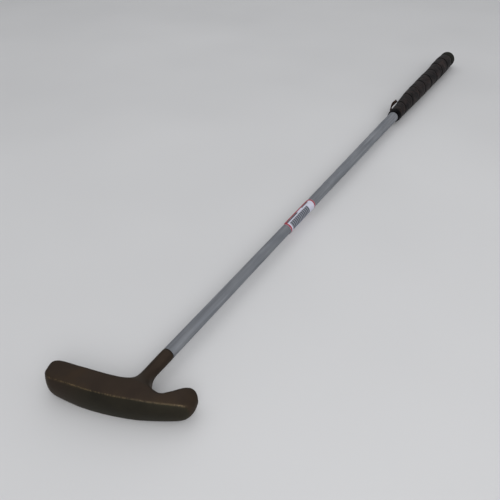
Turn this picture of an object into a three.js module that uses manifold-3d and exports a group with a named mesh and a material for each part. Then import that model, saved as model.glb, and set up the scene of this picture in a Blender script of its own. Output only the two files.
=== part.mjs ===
// A putter lying on the flat of its head, as if just put down on a floor.
// Millimetres. +X runs up the shaft, +Y points to the toe, +Z is up.
// The origin is on the flat of the blade that rests on the floor, under the shaft's own line.
import * as THREE from 'three';
import { mergeVertices } from 'three/addons/utils/BufferGeometryUtils.js';
import Module from 'manifold-3d';

const wasm = await Module();
wasm.setup();

// Whole club
const SEAT_GAP = 0.25;
const LIE_ANGLE = THREE.MathUtils.degToRad(71.7);
const ROUND_SIDES = 40;

// Blade: a rocker with two flat faces, thinner towards toe and heel
const BLADE_THICKNESS = 25;
const AXIS_HEIGHT = BLADE_THICKNESS / 2;
const TOE_REACH = 65.9;
const HEEL_REACH = 50.2;
const TOE_TOP_HEIGHT = 15.7;
const SOLE_DEPTH = 9.9;
const SOLE_RADIUS = 218;
const SOLE_LOW_POINT = 3.5;
const SOLE_CAMBER = 2.6;
const SOLE_EDGE_BREAK = 0.5;
const TOP_EDGE_RADIUS = 2.6;
const TOE_CORNER = 10;
const HEEL_CORNER = 9.6;
const TOE_NOSE = 5;
const HEEL_NOSE = 12.9;
const TOE_TAPER_START = 32;
const TOE_TAPER = 0.1;
const HEEL_TAPER_START = -6;
const HEEL_TAPER = 0.1;
const TAPER_EASE = 6;
const TOE_CORNER_POWER = 1.8;
const HEEL_CORNER_POWER = 2.3;
const NOSE_POWER = 2;
const BLADE_STATIONS = 56;

// The top line from heel to toe: place as a share of the reach on that side,
// height as a share of the toe's height
const topLineShares = [
  [-1, 0.83], [-0.9, 0.84], [-0.775, 0.68], [-0.63, 0.36], [-0.485, 0.11],
  [-0.27, 0.11], [-0.12, 0.42], [0.1, 0.505], [0.3, 0.55], [0.6, 0.705],
  [0.78, 0.855], [1, 1],
];

// Neck and hosel
const HOSEL_END = 47.2;
const HOSEL_DIAMETER = 10.4;
const HOSEL_BELLY = 0.1;
const HOSEL_SHOULDER = 0.8;
const NECK_TOE_FOOT = 11;
const NECK_HEEL_FOOT = -24.5;
const NECK_TOE_REACH = 26;
const NECK_HEEL_REACH = 27;
const NECK_TOE_SWEEP = 14.5;
const NECK_HEEL_SWEEP = 6.5;
const NECK_RUN_OUT = 11.5;
const NECK_ROOT = 5;
const NECK_SET_BACK = 0.06;
const NECK_LEVEL_SHARE = 0.05;
const NECK_BOX_POWER = 5;
const NECK_RINGS = 16;
const NECK_SIDES = 32;

// Shaft: steel tube, drawn down in steps towards the tip
const TIP_DIAMETER = 10.2;
const SHAFT_WALL = 0.6;
const PARALLEL_TIP = 217.8;
const STEP_PITCH = 36;
const STEP_RISE = 0.4;
const STEP_COUNT = 9;
const STEP_SLOPE = 1.2;
const SPIGOT_LENGTH = 28;
const SPIGOT_LEAD = 1;

// Grip: sleeve, leather strip wound on it, collar at the mouth and cap at the butt
const COLLAR_START = 561.5;
const COLLAR_LENGTH = 7;
const COLLAR_FRONT_DIAMETER = 16.6;
const COLLAR_DIAMETER = 17.8;
const COLLAR_LIP = 0.7;
const CAP_START = 832;
const CAP_LENGTH = 25;
const CAP_DIAMETER = 23.4;
const CAP_DOME = 9;
const CAP_SWELL = 1.8;
const CAP_EDGE = 0.35;
const CAP_STEM = 22;
const GRIP_DIAMETER = 24.5;
const LEATHER_THICKNESS = 1.1;
const STRIP_PITCH = 30;
const STRIP_GROOVE = 0.6;
const STRIP_LAP = 0.2;
const STRIP_BEVEL = 0.4;
const STRIP_END_WIDTH = 3;
const STRIP_STEPS = 24;

// Outer diameter of the wound grip from mouth to butt:
// place as a share of its length, diameter as a share of the greatest
const gripProfileShares = [
  [0, 0.745], [0.09, 0.76], [0.21, 0.81], [0.31, 0.865], [0.45, 0.91],
  [0.65, 0.95], [0.84, 1], [0.93, 1], [1, 0.94],
];

// The grip isn't round: it swells to one side, least at the mouth and near the middle.
// Place as a share of its length, swell as a share of the greatest.
const GRIP_SWELL = 2.2;
const GRIP_SWELL_ANGLE = THREE.MathUtils.degToRad(40);
const gripSwellShares = [
  [0, -0.15], [0.1, 0.1], [0.18, 0.65], [0.29, 0.95], [0.45, 0.8],
  [0.56, 0.8], [0.72, 0.45], [0.86, 0.9], [1, 1],
];

// The strip's loose end, which stands off the grip beside the collar
const TAIL_LENGTH = 32;
const TAIL_RISE = 5;
const TAIL_WIDTH = 5;
const TAIL_THICKNESS = 1.3;
const TAIL_ANGLE = THREE.MathUtils.degToRad(24);
const TAIL_TWIST = THREE.MathUtils.degToRad(50);
const TAIL_RINGS = 14;
const TAIL_LEAD_POWER = 1.4;
const TAIL_ROOT_SHARE = 0.06;
const TAIL_ARCH_SHARE = 0.7;
const TAIL_TIP_SHARE = 0.6;
const tailSectionShares = [[1, 0], [0.8, 1], [-0.8, 1], [-1, 0], [-0.8, -1], [0.8, -1]];

// Paper label on the shaft
const LABEL_START = 240.2;
const LABEL_LENGTH = 55.8;
const LABEL_PAPER = 0.2;
const LABEL_CORNER = 5;
const LABEL_FROM = THREE.MathUtils.degToRad(38);
const LABEL_TO = THREE.MathUtils.degToRad(280);
const LABEL_RINGS = 12;
const LABEL_STEPS = 18;

const gripStart = COLLAR_START + COLLAR_LENGTH;
const gripLength = CAP_START - gripStart;
const shaftStart = HOSEL_END + SEAT_GAP;
const shaftEnd = CAP_START - SEAT_GAP;

// Maths of outlines

function smooth(share) {
  return share * share * (3 - 2 * share);
}

function mix(from, to, share) {
  return from + (to - from) * share;
}

// Height of a smooth curve through [place, height] points
function curveAt(points, place) {
  const last = points.length - 1;
  let i = 0;
  while (i < last - 1 && place > points[i + 1][0]) i += 1;
  const slope = (k) => {
    const before = points[Math.max(k - 1, 0)];
    const after = points[Math.min(k + 1, last)];
    return (after[1] - before[1]) / (after[0] - before[0]);
  };
  const span = points[i + 1][0] - points[i][0];
  const t = (place - points[i][0]) / span;
  const rise = smooth(t) * (points[i + 1][1] - points[i][1]);
  const lead = slope(i) * span * t * (1 - t) ** 2;
  const trail = slope(i + 1) * span * t * t * (1 - t);
  return points[i][1] + rise + lead - trail;
}

// How far a body has filled out at a distance from its rounded end, 0 to 1
function fullness(distance, rounding, power) {
  if (distance >= rounding) return 1;
  return (1 - (1 - distance / rounding) ** power) ** (1 / power);
}

// Turn a mesh inside out where its faces point inwards
function outward(geometry) {
  const position = geometry.attributes.position;
  const index = geometry.index.array;
  const corner = [new THREE.Vector3(), new THREE.Vector3(), new THREE.Vector3()];
  let volume = 0;
  for (let i = 0; i < index.length; i += 3) {
    corner.forEach((c, k) => c.fromBufferAttribute(position, index[i + k]));
    volume += corner[0].dot(corner[1].clone().cross(corner[2]));
  }
  if (volume < 0) index.reverse();
  geometry.computeVertexNormals();
  return geometry;
}

function skinned(points, faces) {
  const geometry = new THREE.BufferGeometry().setFromPoints(points);
  geometry.setIndex(faces);
  return outward(geometry);
}

// Faces between neighbouring rings of points that are numbered ring by ring.
// With loops equal to the count of rings, the last ring joins the first.
function facesBetween(count, sides, loops) {
  const faces = [];
  const at = (ring, side) => (ring % count) * sides + (side % sides);
  for (let r = 0; r < loops; r += 1) {
    for (let s = 0; s < sides; s += 1) {
      faces.push(at(r, s), at(r, s + 1), at(r + 1, s));
      faces.push(at(r, s + 1), at(r + 1, s + 1), at(r + 1, s));
    }
  }
  return faces;
}

// Skin a row of rings that have equal numbers of points, closed by a point at each end
function loft(rings, startPoint, endPoint) {
  const sides = rings[0].length;
  const faces = facesBetween(rings.length, sides, rings.length - 1);
  const start = rings.length * sides;
  const lastRing = start - sides;
  for (let s = 0; s < sides; s += 1) {
    const next = (s + 1) % sides;
    faces.push(start, next, s);
    faces.push(start + 1, lastRing + s, lastRing + next);
  }
  return skinned([...rings.flat(), startPoint, endPoint], faces);
}

// Skin a row of rings that closes on itself, as the outside and the bore of a sleeve do
function sleeveLoft(rings) {
  return skinned(rings.flat(), facesBetween(rings.length, rings[0].length, rings.length));
}

// Skin rings that are open bands: each end is closed as a strip between its two long edges
function bandLoft(rings) {
  const sides = rings[0].length;
  const faces = facesBetween(rings.length, sides, rings.length - 1);
  const lastRing = (rings.length - 1) * sides;
  for (let s = 0; s < sides / 2 - 1; s += 1) {
    const far = sides - 1 - s;
    faces.push(s, far, s + 1);
    faces.push(s + 1, far, far - 1);
    faces.push(lastRing + s, lastRing + s + 1, lastRing + far);
    faces.push(lastRing + s + 1, lastRing + far - 1, lastRing + far);
  }
  return skinned(rings.flat(), faces);
}

function middle(ring) {
  const sum = new THREE.Vector3();
  ring.forEach((point) => sum.add(point));
  return sum.divideScalar(ring.length);
}

// Revolve an outline of [place along the shaft, radius] points about the shaft's line
function turned(outline) {
  const profile = outline.map(([along, radius]) => new THREE.Vector2(radius, along));
  const geometry = new THREE.LatheGeometry(profile, ROUND_SIDES);
  geometry.rotateZ(-Math.PI / 2);
  geometry.translate(0, 0, AXIS_HEIGHT);
  return outward(geometry);
}

// A point beside the shaft's line: place along it, distance from it, angle from +Y to +Z
function aroundShaft(along, radius, angle) {
  return new THREE.Vector3(
    along,
    radius * Math.cos(angle),
    AXIS_HEIGHT + radius * Math.sin(angle),
  );
}

function toSolid(geometry) {
  const bare = geometry.clone();
  bare.deleteAttribute('normal');
  bare.deleteAttribute('uv');
  const merged = mergeVertices(bare);
  const vertProperties = merged.attributes.position.array;
  const triVerts = Uint32Array.from(merged.index.array);
  return new wasm.Manifold(new wasm.Mesh({ numProp: 3, vertProperties, triVerts }));
}

function joined(first, second) {
  const mesh = toSolid(first).add(toSolid(second)).getMesh();
  const geometry = new THREE.BufferGeometry();
  geometry.setAttribute('position', new THREE.BufferAttribute(mesh.vertProperties, 3));
  geometry.setIndex(new THREE.BufferAttribute(mesh.triVerts, 1));
  geometry.computeVertexNormals();
  return geometry;
}

// Head

// The blade's own frame: e from heel to toe, u from sole to top line, z from its mid-plane
function bladePoint(e, u, z) {
  const x = u * Math.sin(LIE_ANGLE) - e * Math.cos(LIE_ANGLE);
  const y = e * Math.sin(LIE_ANGLE) + u * Math.cos(LIE_ANGLE);
  return new THREE.Vector3(x, y, AXIS_HEIGHT + z);
}

function soleAt(e) {
  return (e - SOLE_LOW_POINT) ** 2 / (2 * SOLE_RADIUS) - SOLE_DEPTH;
}

function topLineAt(e) {
  const share = e < 0 ? e / HEEL_REACH : e / TOE_REACH;
  return TOE_TOP_HEIGHT * curveAt(topLineShares, share);
}

// Both faces are flat in the middle and fall away evenly towards toe and heel
function halfThicknessAt(e) {
  const taper = (distance, slope) => {
    if (distance <= 0) return 0;
    if (distance < TAPER_EASE) return slope * distance ** 2 / (2 * TAPER_EASE);
    return slope * (distance - TAPER_EASE / 2);
  };
  const toToe = taper(e - TOE_TAPER_START, TOE_TAPER);
  const toHeel = taper(HEEL_TAPER_START - e, HEEL_TAPER);
  return BLADE_THICKNESS / 2 - toToe - toHeel;
}

// One section across the blade: broken edges, cambered sole, rounded top line
function bladeRing(e) {
  const toToe = TOE_REACH - e;
  const toHeel = e + HEEL_REACH;
  const nearToe = toToe < toHeel;
  const reach = Math.min(toToe, toHeel);
  const plan = nearToe
    ? fullness(reach, TOE_CORNER, TOE_CORNER_POWER)
    : fullness(reach, HEEL_CORNER, HEEL_CORNER_POWER);
  const depth = fullness(reach, nearToe ? TOE_NOSE : HEEL_NOSE, NOSE_POWER);
  const centre = (soleAt(e) + topLineAt(e)) / 2;
  const sole = mix(centre, soleAt(e), plan);
  const top = mix(centre, topLineAt(e), plan);
  const half = depth * halfThicknessAt(e);
  const edge = SOLE_EDGE_BREAK * plan * depth;
  const radius = TOP_EDGE_RADIUS * plan * depth;
  const section = [];
  const soleSteps = 8;
  const cornerSteps = 4;
  section.push([sole + edge, half]);
  for (let k = 0; k <= soleSteps; k += 1) {
    const share = k / soleSteps;
    const belly = SOLE_CAMBER * depth * plan * 4 * share * (1 - share);
    section.push([sole - belly, mix(half - edge, edge - half, share)]);
  }
  section.push([sole + edge, -half]);
  for (let k = 0; k <= cornerSteps; k += 1) {
    const turn = Math.PI / 2 * k / cornerSteps;
    section.push([top - radius + radius * Math.sin(turn), radius - half - radius * Math.cos(turn)]);
  }
  for (let k = cornerSteps; k >= 0; k -= 1) {
    const turn = Math.PI / 2 * k / cornerSteps;
    section.push([top - radius + radius * Math.sin(turn), half - radius + radius * Math.cos(turn)]);
  }
  return section.map(([u, z]) => bladePoint(e, u, z));
}

function blade() {
  const rings = [];
  const centre = (TOE_REACH - HEEL_REACH) / 2;
  const halfLength = (TOE_REACH + HEEL_REACH) / 2;
  for (let i = 1; i < BLADE_STATIONS; i += 1) {
    const even = 2 * i / BLADE_STATIONS - 1;
    rings.push(bladeRing(centre + halfLength * Math.sin(even * Math.PI / 2)));
  }
  const heelTip = bladePoint(-HEEL_REACH, (soleAt(-HEEL_REACH) + topLineAt(-HEEL_REACH)) / 2, 0);
  const toeTip = bladePoint(TOE_REACH, (soleAt(TOE_REACH) + topLineAt(TOE_REACH)) / 2, 0);
  return loft(rings, heelTip, toeTip);
}

// A ring between two points in plan, boxy where power is high and round where it is 2
function neckRing(toeSide, heelSide, depthAt, power) {
  const ring = [];
  const centre = toeSide.clone().add(heelSide).divideScalar(2);
  const arm = toeSide.clone().sub(heelSide).divideScalar(2);
  const spread = (value) => Math.sign(value) * Math.abs(value) ** (2 / power);
  for (let s = 0; s < NECK_SIDES; s += 1) {
    const turn = 2 * Math.PI * s / NECK_SIDES;
    const point = centre.clone().addScaledVector(arm, spread(Math.cos(turn)));
    point.z += depthAt(point) * spread(Math.sin(turn));
    ring.push(point);
  }
  return ring;
}

function roundRing(along, radius) {
  const toeSide = aroundShaft(along, radius, 0);
  const heelSide = aroundShaft(along, -radius, 0);
  return neckRing(toeSide, heelSide, () => radius, 2);
}

// The neck follows one curve on the toe side and a tighter one on the heel side.
// It leaves the blade level with both faces, then thins to the round of the hosel.
function neckAndHosel() {
  const hosel = HOSEL_DIAMETER / 2;
  const toeFoot = bladePoint(NECK_TOE_FOOT, topLineAt(NECK_TOE_FOOT), 0);
  const heelFoot = bladePoint(NECK_HEEL_FOOT, topLineAt(NECK_HEEL_FOOT), 0);
  const alongBlade = bladePoint(1, 0, 0).sub(bladePoint(0, 0, 0));
  const downBlade = bladePoint(0, 0, 0).sub(bladePoint(0, 1, 0));
  const faceDepthAt = (point) => halfThicknessAt(point.dot(alongBlade)) - NECK_SET_BACK;
  const toeRail = new THREE.CubicBezierCurve3(
    toeFoot,
    toeFoot.clone().addScaledVector(alongBlade, -NECK_TOE_SWEEP),
    aroundShaft(NECK_TOE_REACH - NECK_RUN_OUT, hosel, 0),
    aroundShaft(NECK_TOE_REACH, hosel, 0),
  );
  const heelRail = new THREE.CubicBezierCurve3(
    heelFoot,
    heelFoot.clone().addScaledVector(alongBlade, NECK_HEEL_SWEEP),
    aroundShaft(NECK_HEEL_REACH - NECK_RUN_OUT, -hosel, 0),
    aroundShaft(NECK_HEEL_REACH, -hosel, 0),
  );
  const rings = [neckRing(
    toeFoot.clone().addScaledVector(downBlade, NECK_ROOT),
    heelFoot.clone().addScaledVector(downBlade, NECK_ROOT),
    faceDepthAt,
    NECK_BOX_POWER,
  )];
  for (let i = 0; i <= NECK_RINGS; i += 1) {
    const share = i / NECK_RINGS;
    const eased = smooth(Math.max(0, share - NECK_LEVEL_SHARE) / (1 - NECK_LEVEL_SHARE));
    rings.push(neckRing(
      toeRail.getPoint(share),
      heelRail.getPoint(share),
      (point) => mix(faceDepthAt(point), hosel, eased),
      mix(NECK_BOX_POWER, 2, eased),
    ));
  }
  const neckTop = Math.max(NECK_TOE_REACH, NECK_HEEL_REACH);
  const spigot = TIP_DIAMETER / 2 - SHAFT_WALL - SEAT_GAP;
  const spigotEnd = HOSEL_END + SPIGOT_LENGTH;
  rings.push(roundRing(mix(neckTop, HOSEL_END, 1 / 3), hosel + HOSEL_BELLY / 2));
  rings.push(roundRing(mix(neckTop, HOSEL_END, 2 / 3), hosel + HOSEL_BELLY));
  rings.push(roundRing(HOSEL_END - HOSEL_SHOULDER, hosel + HOSEL_BELLY));
  rings.push(roundRing(HOSEL_END - HOSEL_SHOULDER / 3, hosel - HOSEL_SHOULDER / 4));
  rings.push(roundRing(HOSEL_END, hosel - HOSEL_SHOULDER / 2));
  rings.push(roundRing(HOSEL_END, spigot));
  rings.push(roundRing(spigotEnd - SPIGOT_LEAD, spigot));
  rings.push(roundRing(spigotEnd, spigot - SPIGOT_LEAD));
  return loft(rings, middle(rings[0]), aroundShaft(spigotEnd, 0, 0));
}

// Shaft

function shaftRadiusAt(along) {
  const done = Math.floor((along - shaftStart - PARALLEL_TIP) / STEP_PITCH) + 1;
  const steps = THREE.MathUtils.clamp(done, 0, STEP_COUNT);
  return (TIP_DIAMETER + steps * STEP_RISE) / 2;
}

function shaft() {
  const outer = [[shaftStart, TIP_DIAMETER / 2]];
  for (let i = 0; i < STEP_COUNT; i += 1) {
    const along = shaftStart + PARALLEL_TIP + i * STEP_PITCH;
    outer.push([along, (TIP_DIAMETER + i * STEP_RISE) / 2]);
    outer.push([along + STEP_SLOPE, (TIP_DIAMETER + (i + 1) * STEP_RISE) / 2]);
  }
  outer.push([shaftEnd, (TIP_DIAMETER + STEP_COUNT * STEP_RISE) / 2]);
  const inner = outer.map(([along, radius]) => [along, radius - SHAFT_WALL]).reverse();
  return turned([...outer, ...inner, outer[0]]);
}

function label() {
  const labelEnd = LABEL_START + LABEL_LENGTH;
  const inside = shaftRadiusAt(labelEnd) + SEAT_GAP;
  const outside = inside + LABEL_PAPER;
  const rings = [];
  for (let i = 0; i <= LABEL_RINGS; i += 1) {
    const along = mix(LABEL_START, labelEnd, smooth(i / LABEL_RINGS));
    const fromEnd = Math.min(along - LABEL_START, labelEnd - along, LABEL_CORNER);
    const inset = LABEL_CORNER - Math.sqrt(LABEL_CORNER ** 2 - (LABEL_CORNER - fromEnd) ** 2);
    const from = LABEL_FROM + inset / outside;
    const to = LABEL_TO - inset / outside;
    const outerArc = [];
    const innerArc = [];
    for (let k = 0; k <= LABEL_STEPS; k += 1) {
      const angle = mix(from, to, k / LABEL_STEPS);
      outerArc.push(aroundShaft(along, outside, angle));
      innerArc.unshift(aroundShaft(along, inside, angle));
    }
    rings.push([...outerArc, ...innerArc]);
  }
  return bandLoft(rings);
}

// Grip

// The swollen side counts 1, and the side across from it 0
function swellTowards(angle) {
  return ((1 + Math.cos(angle - GRIP_SWELL_ANGLE)) / 2) ** 2;
}

function gripRadiusAt(along, angle) {
  const share = THREE.MathUtils.clamp((along - gripStart) / gripLength, 0, 1);
  const round = GRIP_DIAMETER / 2 * curveAt(gripProfileShares, share);
  return round + GRIP_SWELL * curveAt(gripSwellShares, share) * swellTowards(angle);
}

// A ring round the shaft's line whose radius is given for each angle
function ringAround(along, radiusAt) {
  const ring = [];
  for (let s = 0; s < ROUND_SIDES; s += 1) {
    const angle = 2 * Math.PI * s / ROUND_SIDES;
    ring.push(aroundShaft(along, radiusAt(angle), angle));
  }
  return ring;
}

function gripSleeve() {
  const bore = shaftRadiusAt(gripStart) + SEAT_GAP;
  const wrap = LEATHER_THICKNESS + SEAT_GAP;
  const stations = 16;
  const outer = [];
  for (let i = 0; i <= stations; i += 1) {
    const along = mix(gripStart + SEAT_GAP, shaftEnd, i / stations);
    outer.push(ringAround(along, (angle) => gripRadiusAt(along, angle) - wrap));
  }
  const boreEnd = ringAround(shaftEnd, () => bore);
  const boreStart = ringAround(gripStart + SEAT_GAP, () => bore);
  return sleeveLoft([...outer, boreEnd, boreStart]);
}

// One section of the strip: its edges are skived, and the edge towards the mouth
// rides a little higher than the one that it meets
function stripRing(from, to, width, angle) {
  const inside = (along) => aroundShaft(along, gripRadiusAt(along, angle) - LEATHER_THICKNESS, angle);
  const outside = (along, bevel) => {
    const lap = STRIP_LAP * (1 - 2 * (along - to + width) / width);
    return aroundShaft(along, gripRadiusAt(along, angle) + lap - bevel, angle);
  };
  const centre = (from + to) / 2;
  return [
    inside(to), inside(centre), inside(from),
    outside(from, STRIP_BEVEL), outside(from + STRIP_BEVEL, 0),
    outside(centre, 0), outside(to - STRIP_BEVEL, 0), outside(to, STRIP_BEVEL),
  ];
}

function stripRings() {
  const first = gripStart + SEAT_GAP;
  const width = STRIP_PITCH - STRIP_GROOVE;
  const rings = [];
  const wound = shaftEnd - first + width - 2 * STRIP_END_WIDTH;
  const count = Math.floor(wound / STRIP_PITCH * STRIP_STEPS);
  for (let i = 0; i <= count; i += 1) {
    const leading = first + STRIP_END_WIDTH + i / STRIP_STEPS * STRIP_PITCH;
    const angle = TAIL_ANGLE - 2 * Math.PI * i / STRIP_STEPS;
    const from = Math.max(first, leading - width);
    const to = Math.min(shaftEnd, leading);
    rings.push(stripRing(from, to, width, angle));
  }
  return rings;
}

function reportLeastGap(rings) {
  let least = Infinity;
  for (let i = 0; i + STRIP_STEPS < rings.length; i += 1) {
    for (const near of rings[i]) {
      for (const far of rings[i + STRIP_STEPS]) {
        least = Math.min(least, near.distanceTo(far));
      }
    }
  }
  console.log(`Least gap between turns of the leather strip: ${least.toFixed(2)} mm`);
}

// The loose end arches up off the grip and twists over at its tip
function looseEnd() {
  const rings = [];
  const root = gripStart + 2 * STRIP_END_WIDTH;
  const outwards = aroundShaft(0, 1, TAIL_ANGLE).sub(aroundShaft(0, 0, 0));
  const sideways = aroundShaft(0, 1, TAIL_ANGLE + Math.PI / 2).sub(aroundShaft(0, 0, 0));
  for (let i = 0; i <= TAIL_RINGS; i += 1) {
    const share = i / TAIL_RINGS;
    const along = root + TAIL_LENGTH * share ** TAIL_LEAD_POWER;
    const arch = Math.sin(Math.PI * (TAIL_ROOT_SHARE + TAIL_ARCH_SHARE * share));
    const lift = TAIL_RISE * arch - TAIL_THICKNESS;
    const centre = aroundShaft(along, gripRadiusAt(along, TAIL_ANGLE) + lift, TAIL_ANGLE);
    const twist = TAIL_TWIST * smooth(share);
    const width = sideways.clone().multiplyScalar(Math.cos(twist));
    width.addScaledVector(outwards, Math.sin(twist));
    const thick = outwards.clone().multiplyScalar(Math.cos(twist));
    thick.addScaledVector(sideways, -Math.sin(twist));
    const halfWidth = TAIL_WIDTH / 2 * mix(1, TAIL_TIP_SHARE, smooth(share));
    rings.push(tailSectionShares.map(([across, through]) => centre.clone()
      .addScaledVector(width, across * halfWidth)
      .addScaledVector(thick, through * TAIL_THICKNESS / 2)));
  }
  return loft(rings, middle(rings[0]), middle(rings[TAIL_RINGS]));
}

function leatherWrap() {
  const rings = stripRings();
  reportLeastGap(rings);
  const strip = loft(rings, middle(rings[0]), middle(rings[rings.length - 1]));
  return joined(strip, looseEnd());
}

// A ring that widens from its front to the leather, with both rims rounded
function gripCollar() {
  const bore = shaftRadiusAt(COLLAR_START) + SEAT_GAP;
  const front = COLLAR_FRONT_DIAMETER / 2;
  const rim = COLLAR_DIAMETER / 2;
  const end = gripStart;
  return turned([
    [end, bore], [COLLAR_START, bore],
    [COLLAR_START, front - COLLAR_LIP],
    [COLLAR_START + COLLAR_LIP / 3, front - COLLAR_LIP / 3],
    [COLLAR_START + COLLAR_LIP, front],
    [end - COLLAR_LIP / 3, rim],
    [end, rim - COLLAR_LIP / 3],
    [end, bore],
  ]);
}

// The cap's dome carries on the grip's swell, and its stem plugs the shaft
function buttCap() {
  const rim = CAP_DIAMETER / 2;
  const stem = shaftRadiusAt(shaftEnd) - SHAFT_WALL - SEAT_GAP;
  const stemStart = CAP_START - CAP_STEM;
  const domeStart = CAP_START + CAP_LENGTH - CAP_DOME;
  const capRing = (along, radius, swell) => (
    ringAround(along, (angle) => radius + swell * swellTowards(angle))
  );
  const rings = [
    capRing(stemStart, stem - SPIGOT_LEAD, 0),
    capRing(stemStart + SPIGOT_LEAD, stem, 0),
    capRing(CAP_START, stem, 0),
    capRing(CAP_START, rim - CAP_EDGE, CAP_SWELL),
    capRing(CAP_START + CAP_EDGE, rim, CAP_SWELL),
  ];
  const domeSteps = 10;
  for (let k = 0; k < domeSteps; k += 1) {
    const turn = Math.PI / 2 * k / domeSteps;
    const along = domeStart + CAP_DOME * Math.sin(turn);
    rings.push(capRing(along, rim * Math.cos(turn), CAP_SWELL * Math.cos(turn)));
  }
  return loft(
    rings,
    aroundShaft(stemStart, 0, 0),
    aroundShaft(CAP_START + CAP_LENGTH, 0, 0),
  );
}

// Assembly

const bronze = { color: 0x40362c, roughness: 0.45, metalness: 0.85 };
const steel = { color: 0x8d9198, roughness: 0.4, metalness: 0.8 };
const leather = { color: 0x2a2625, roughness: 0.75, metalness: 0 };
const underlay = { color: 0x6b5a45, roughness: 0.9, metalness: 0 };
const blackPlastic = { color: 0x0c0c0d, roughness: 0.35, metalness: 0 };
const rubber = { color: 0x3a3a34, roughness: 0.7, metalness: 0 };
const paper = { color: 0xe8e6e4, roughness: 0.6, metalness: 0 };

function piece(name, geometry, finish) {
  const mesh = new THREE.Mesh(geometry, new THREE.MeshStandardMaterial(finish));
  mesh.name = name;
  return mesh;
}

const putter = new THREE.Group();
putter.add(piece('head', joined(blade(), neckAndHosel()), bronze));
putter.add(piece('shaft', shaft(), steel));
putter.add(piece('shaft_label', label(), paper));
putter.add(piece('grip_sleeve', gripSleeve(), underlay));
putter.add(piece('leather_wrap', leatherWrap(), leather));
putter.add(piece('grip_collar', gripCollar(), blackPlastic));
putter.add(piece('butt_cap', buttCap(), rubber));

export default putter;
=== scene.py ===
# %% [markdown]
# # A putter on a pale floor
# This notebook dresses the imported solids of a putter: a bronze head, a stepped steel shaft,
# and a grip wound with a leather strip. Lengths are in metres. +X runs up the shaft,
# +Y points to the toe and +Z is up. Each cell makes one thing and prints what it made.

# %% Load the fixed frame
import bmesh
import bpy
import math
import numpy as np
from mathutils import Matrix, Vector


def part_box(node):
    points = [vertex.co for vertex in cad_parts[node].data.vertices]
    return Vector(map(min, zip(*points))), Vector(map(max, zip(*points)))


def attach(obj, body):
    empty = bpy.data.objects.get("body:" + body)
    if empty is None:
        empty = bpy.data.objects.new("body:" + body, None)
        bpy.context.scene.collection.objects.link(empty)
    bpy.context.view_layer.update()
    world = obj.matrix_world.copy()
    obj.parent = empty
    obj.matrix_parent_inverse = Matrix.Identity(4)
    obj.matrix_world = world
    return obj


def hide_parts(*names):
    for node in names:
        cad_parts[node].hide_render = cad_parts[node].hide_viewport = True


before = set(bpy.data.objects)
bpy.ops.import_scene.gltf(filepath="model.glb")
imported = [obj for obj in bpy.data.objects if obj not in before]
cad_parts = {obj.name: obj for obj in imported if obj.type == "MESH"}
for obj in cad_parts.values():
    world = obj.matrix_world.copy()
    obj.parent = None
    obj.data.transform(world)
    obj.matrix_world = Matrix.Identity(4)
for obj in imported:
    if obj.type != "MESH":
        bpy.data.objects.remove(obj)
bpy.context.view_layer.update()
MM = 0.001
print("solids:", sorted(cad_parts))

# %% [markdown]
# ## Camera
# The photograph was taken from about a third of a metre above the floor, from beyond the sole
# and towards the heel, looking along the shaft and down by 37 degrees. A lens of 39.6 mm on a
# 36 mm sensor gives its field of view.

# %% Camera
SHAFT_HEIGHT = 12.5 * MM
CAMERA_PLACE = Vector((-168.15 * MM, -201.27 * MM, 317.6 * MM + SHAFT_HEIGHT))
CAMERA_PITCH = math.radians(37.12)
CAMERA_HEADING = math.radians(30.83)

camera_data = bpy.data.cameras.new("camera")
camera_data.lens = 39.6
camera_data.sensor_width = 36.0
camera_data.clip_start = 0.01
camera = bpy.data.objects.new("camera", camera_data)
camera.location = CAMERA_PLACE
camera.rotation_euler = (math.pi / 2 - CAMERA_PITCH, 0.0, CAMERA_HEADING - math.pi / 2)
bpy.context.collection.objects.link(camera)
bpy.context.scene.camera = camera
print("camera height above the floor:", round(camera.location.z, 4))

# %% [markdown]
# ## Helpers for meshes
# Most pieces here are round about the shaft's line, so one helper turns an outline of
# (place along the shaft, radius) points into a closed mesh. Another links any mesh.

# %% Mesh helpers
def add_object(name, mesh, smooth=True):
    piece = bpy.data.objects.new(name, mesh)
    bpy.context.collection.objects.link(piece)
    mesh.polygons.foreach_set("use_smooth", [smooth] * len(mesh.polygons))
    return piece


def grid_mesh(name, rows, close_rows=False, close_columns=True, caps=False):
    """Rows of points, all of one length, joined into quads."""
    rows = [list(row) for row in rows]
    count = len(rows[0])
    points = [p for row in rows for p in row]
    faces = []
    last_row = len(rows) if close_rows else len(rows) - 1
    last_column = count if close_columns else count - 1
    for r in range(last_row):
        for c in range(last_column):
            r2, c2 = (r + 1) % len(rows), (c + 1) % count
            faces.append((r * count + c, r * count + c2, r2 * count + c2, r2 * count + c))
    if caps:
        faces.append(tuple(range(count)))
        faces.append(tuple((len(rows) - 1) * count + c for c in range(count)))
    mesh = bpy.data.meshes.new(name)
    mesh.from_pydata(points, [], faces)
    turn_outwards(mesh)
    return mesh


def turn_outwards(mesh):
    work = bmesh.new()
    work.from_mesh(mesh)
    bmesh.ops.remove_doubles(work, verts=work.verts, dist=1e-6)
    bmesh.ops.recalc_face_normals(work, faces=work.faces)
    work.to_mesh(mesh)
    work.free()


def around(along, radius, angle):
    """A point beside the shaft's line; the angle runs from +Y to +Z."""
    return (along, radius * math.cos(angle), SHAFT_HEIGHT + radius * math.sin(angle))


def turned(name, outline, sides=96, closed=False):
    rows = [[around(along, radius, 2 * math.pi * s / sides) for s in range(sides)]
            for along, radius in outline]
    return grid_mesh(name, rows, close_rows=closed)


print("mesh helpers ready")

# %% [markdown]
# ## Helpers for materials
# The finishes are built from the same few nodes: noise for variation, a colour ramp to turn it
# into tones and, on most, a bump. Patterns read Object coordinates, or the label's own map, so
# they stay put in every view.

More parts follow.
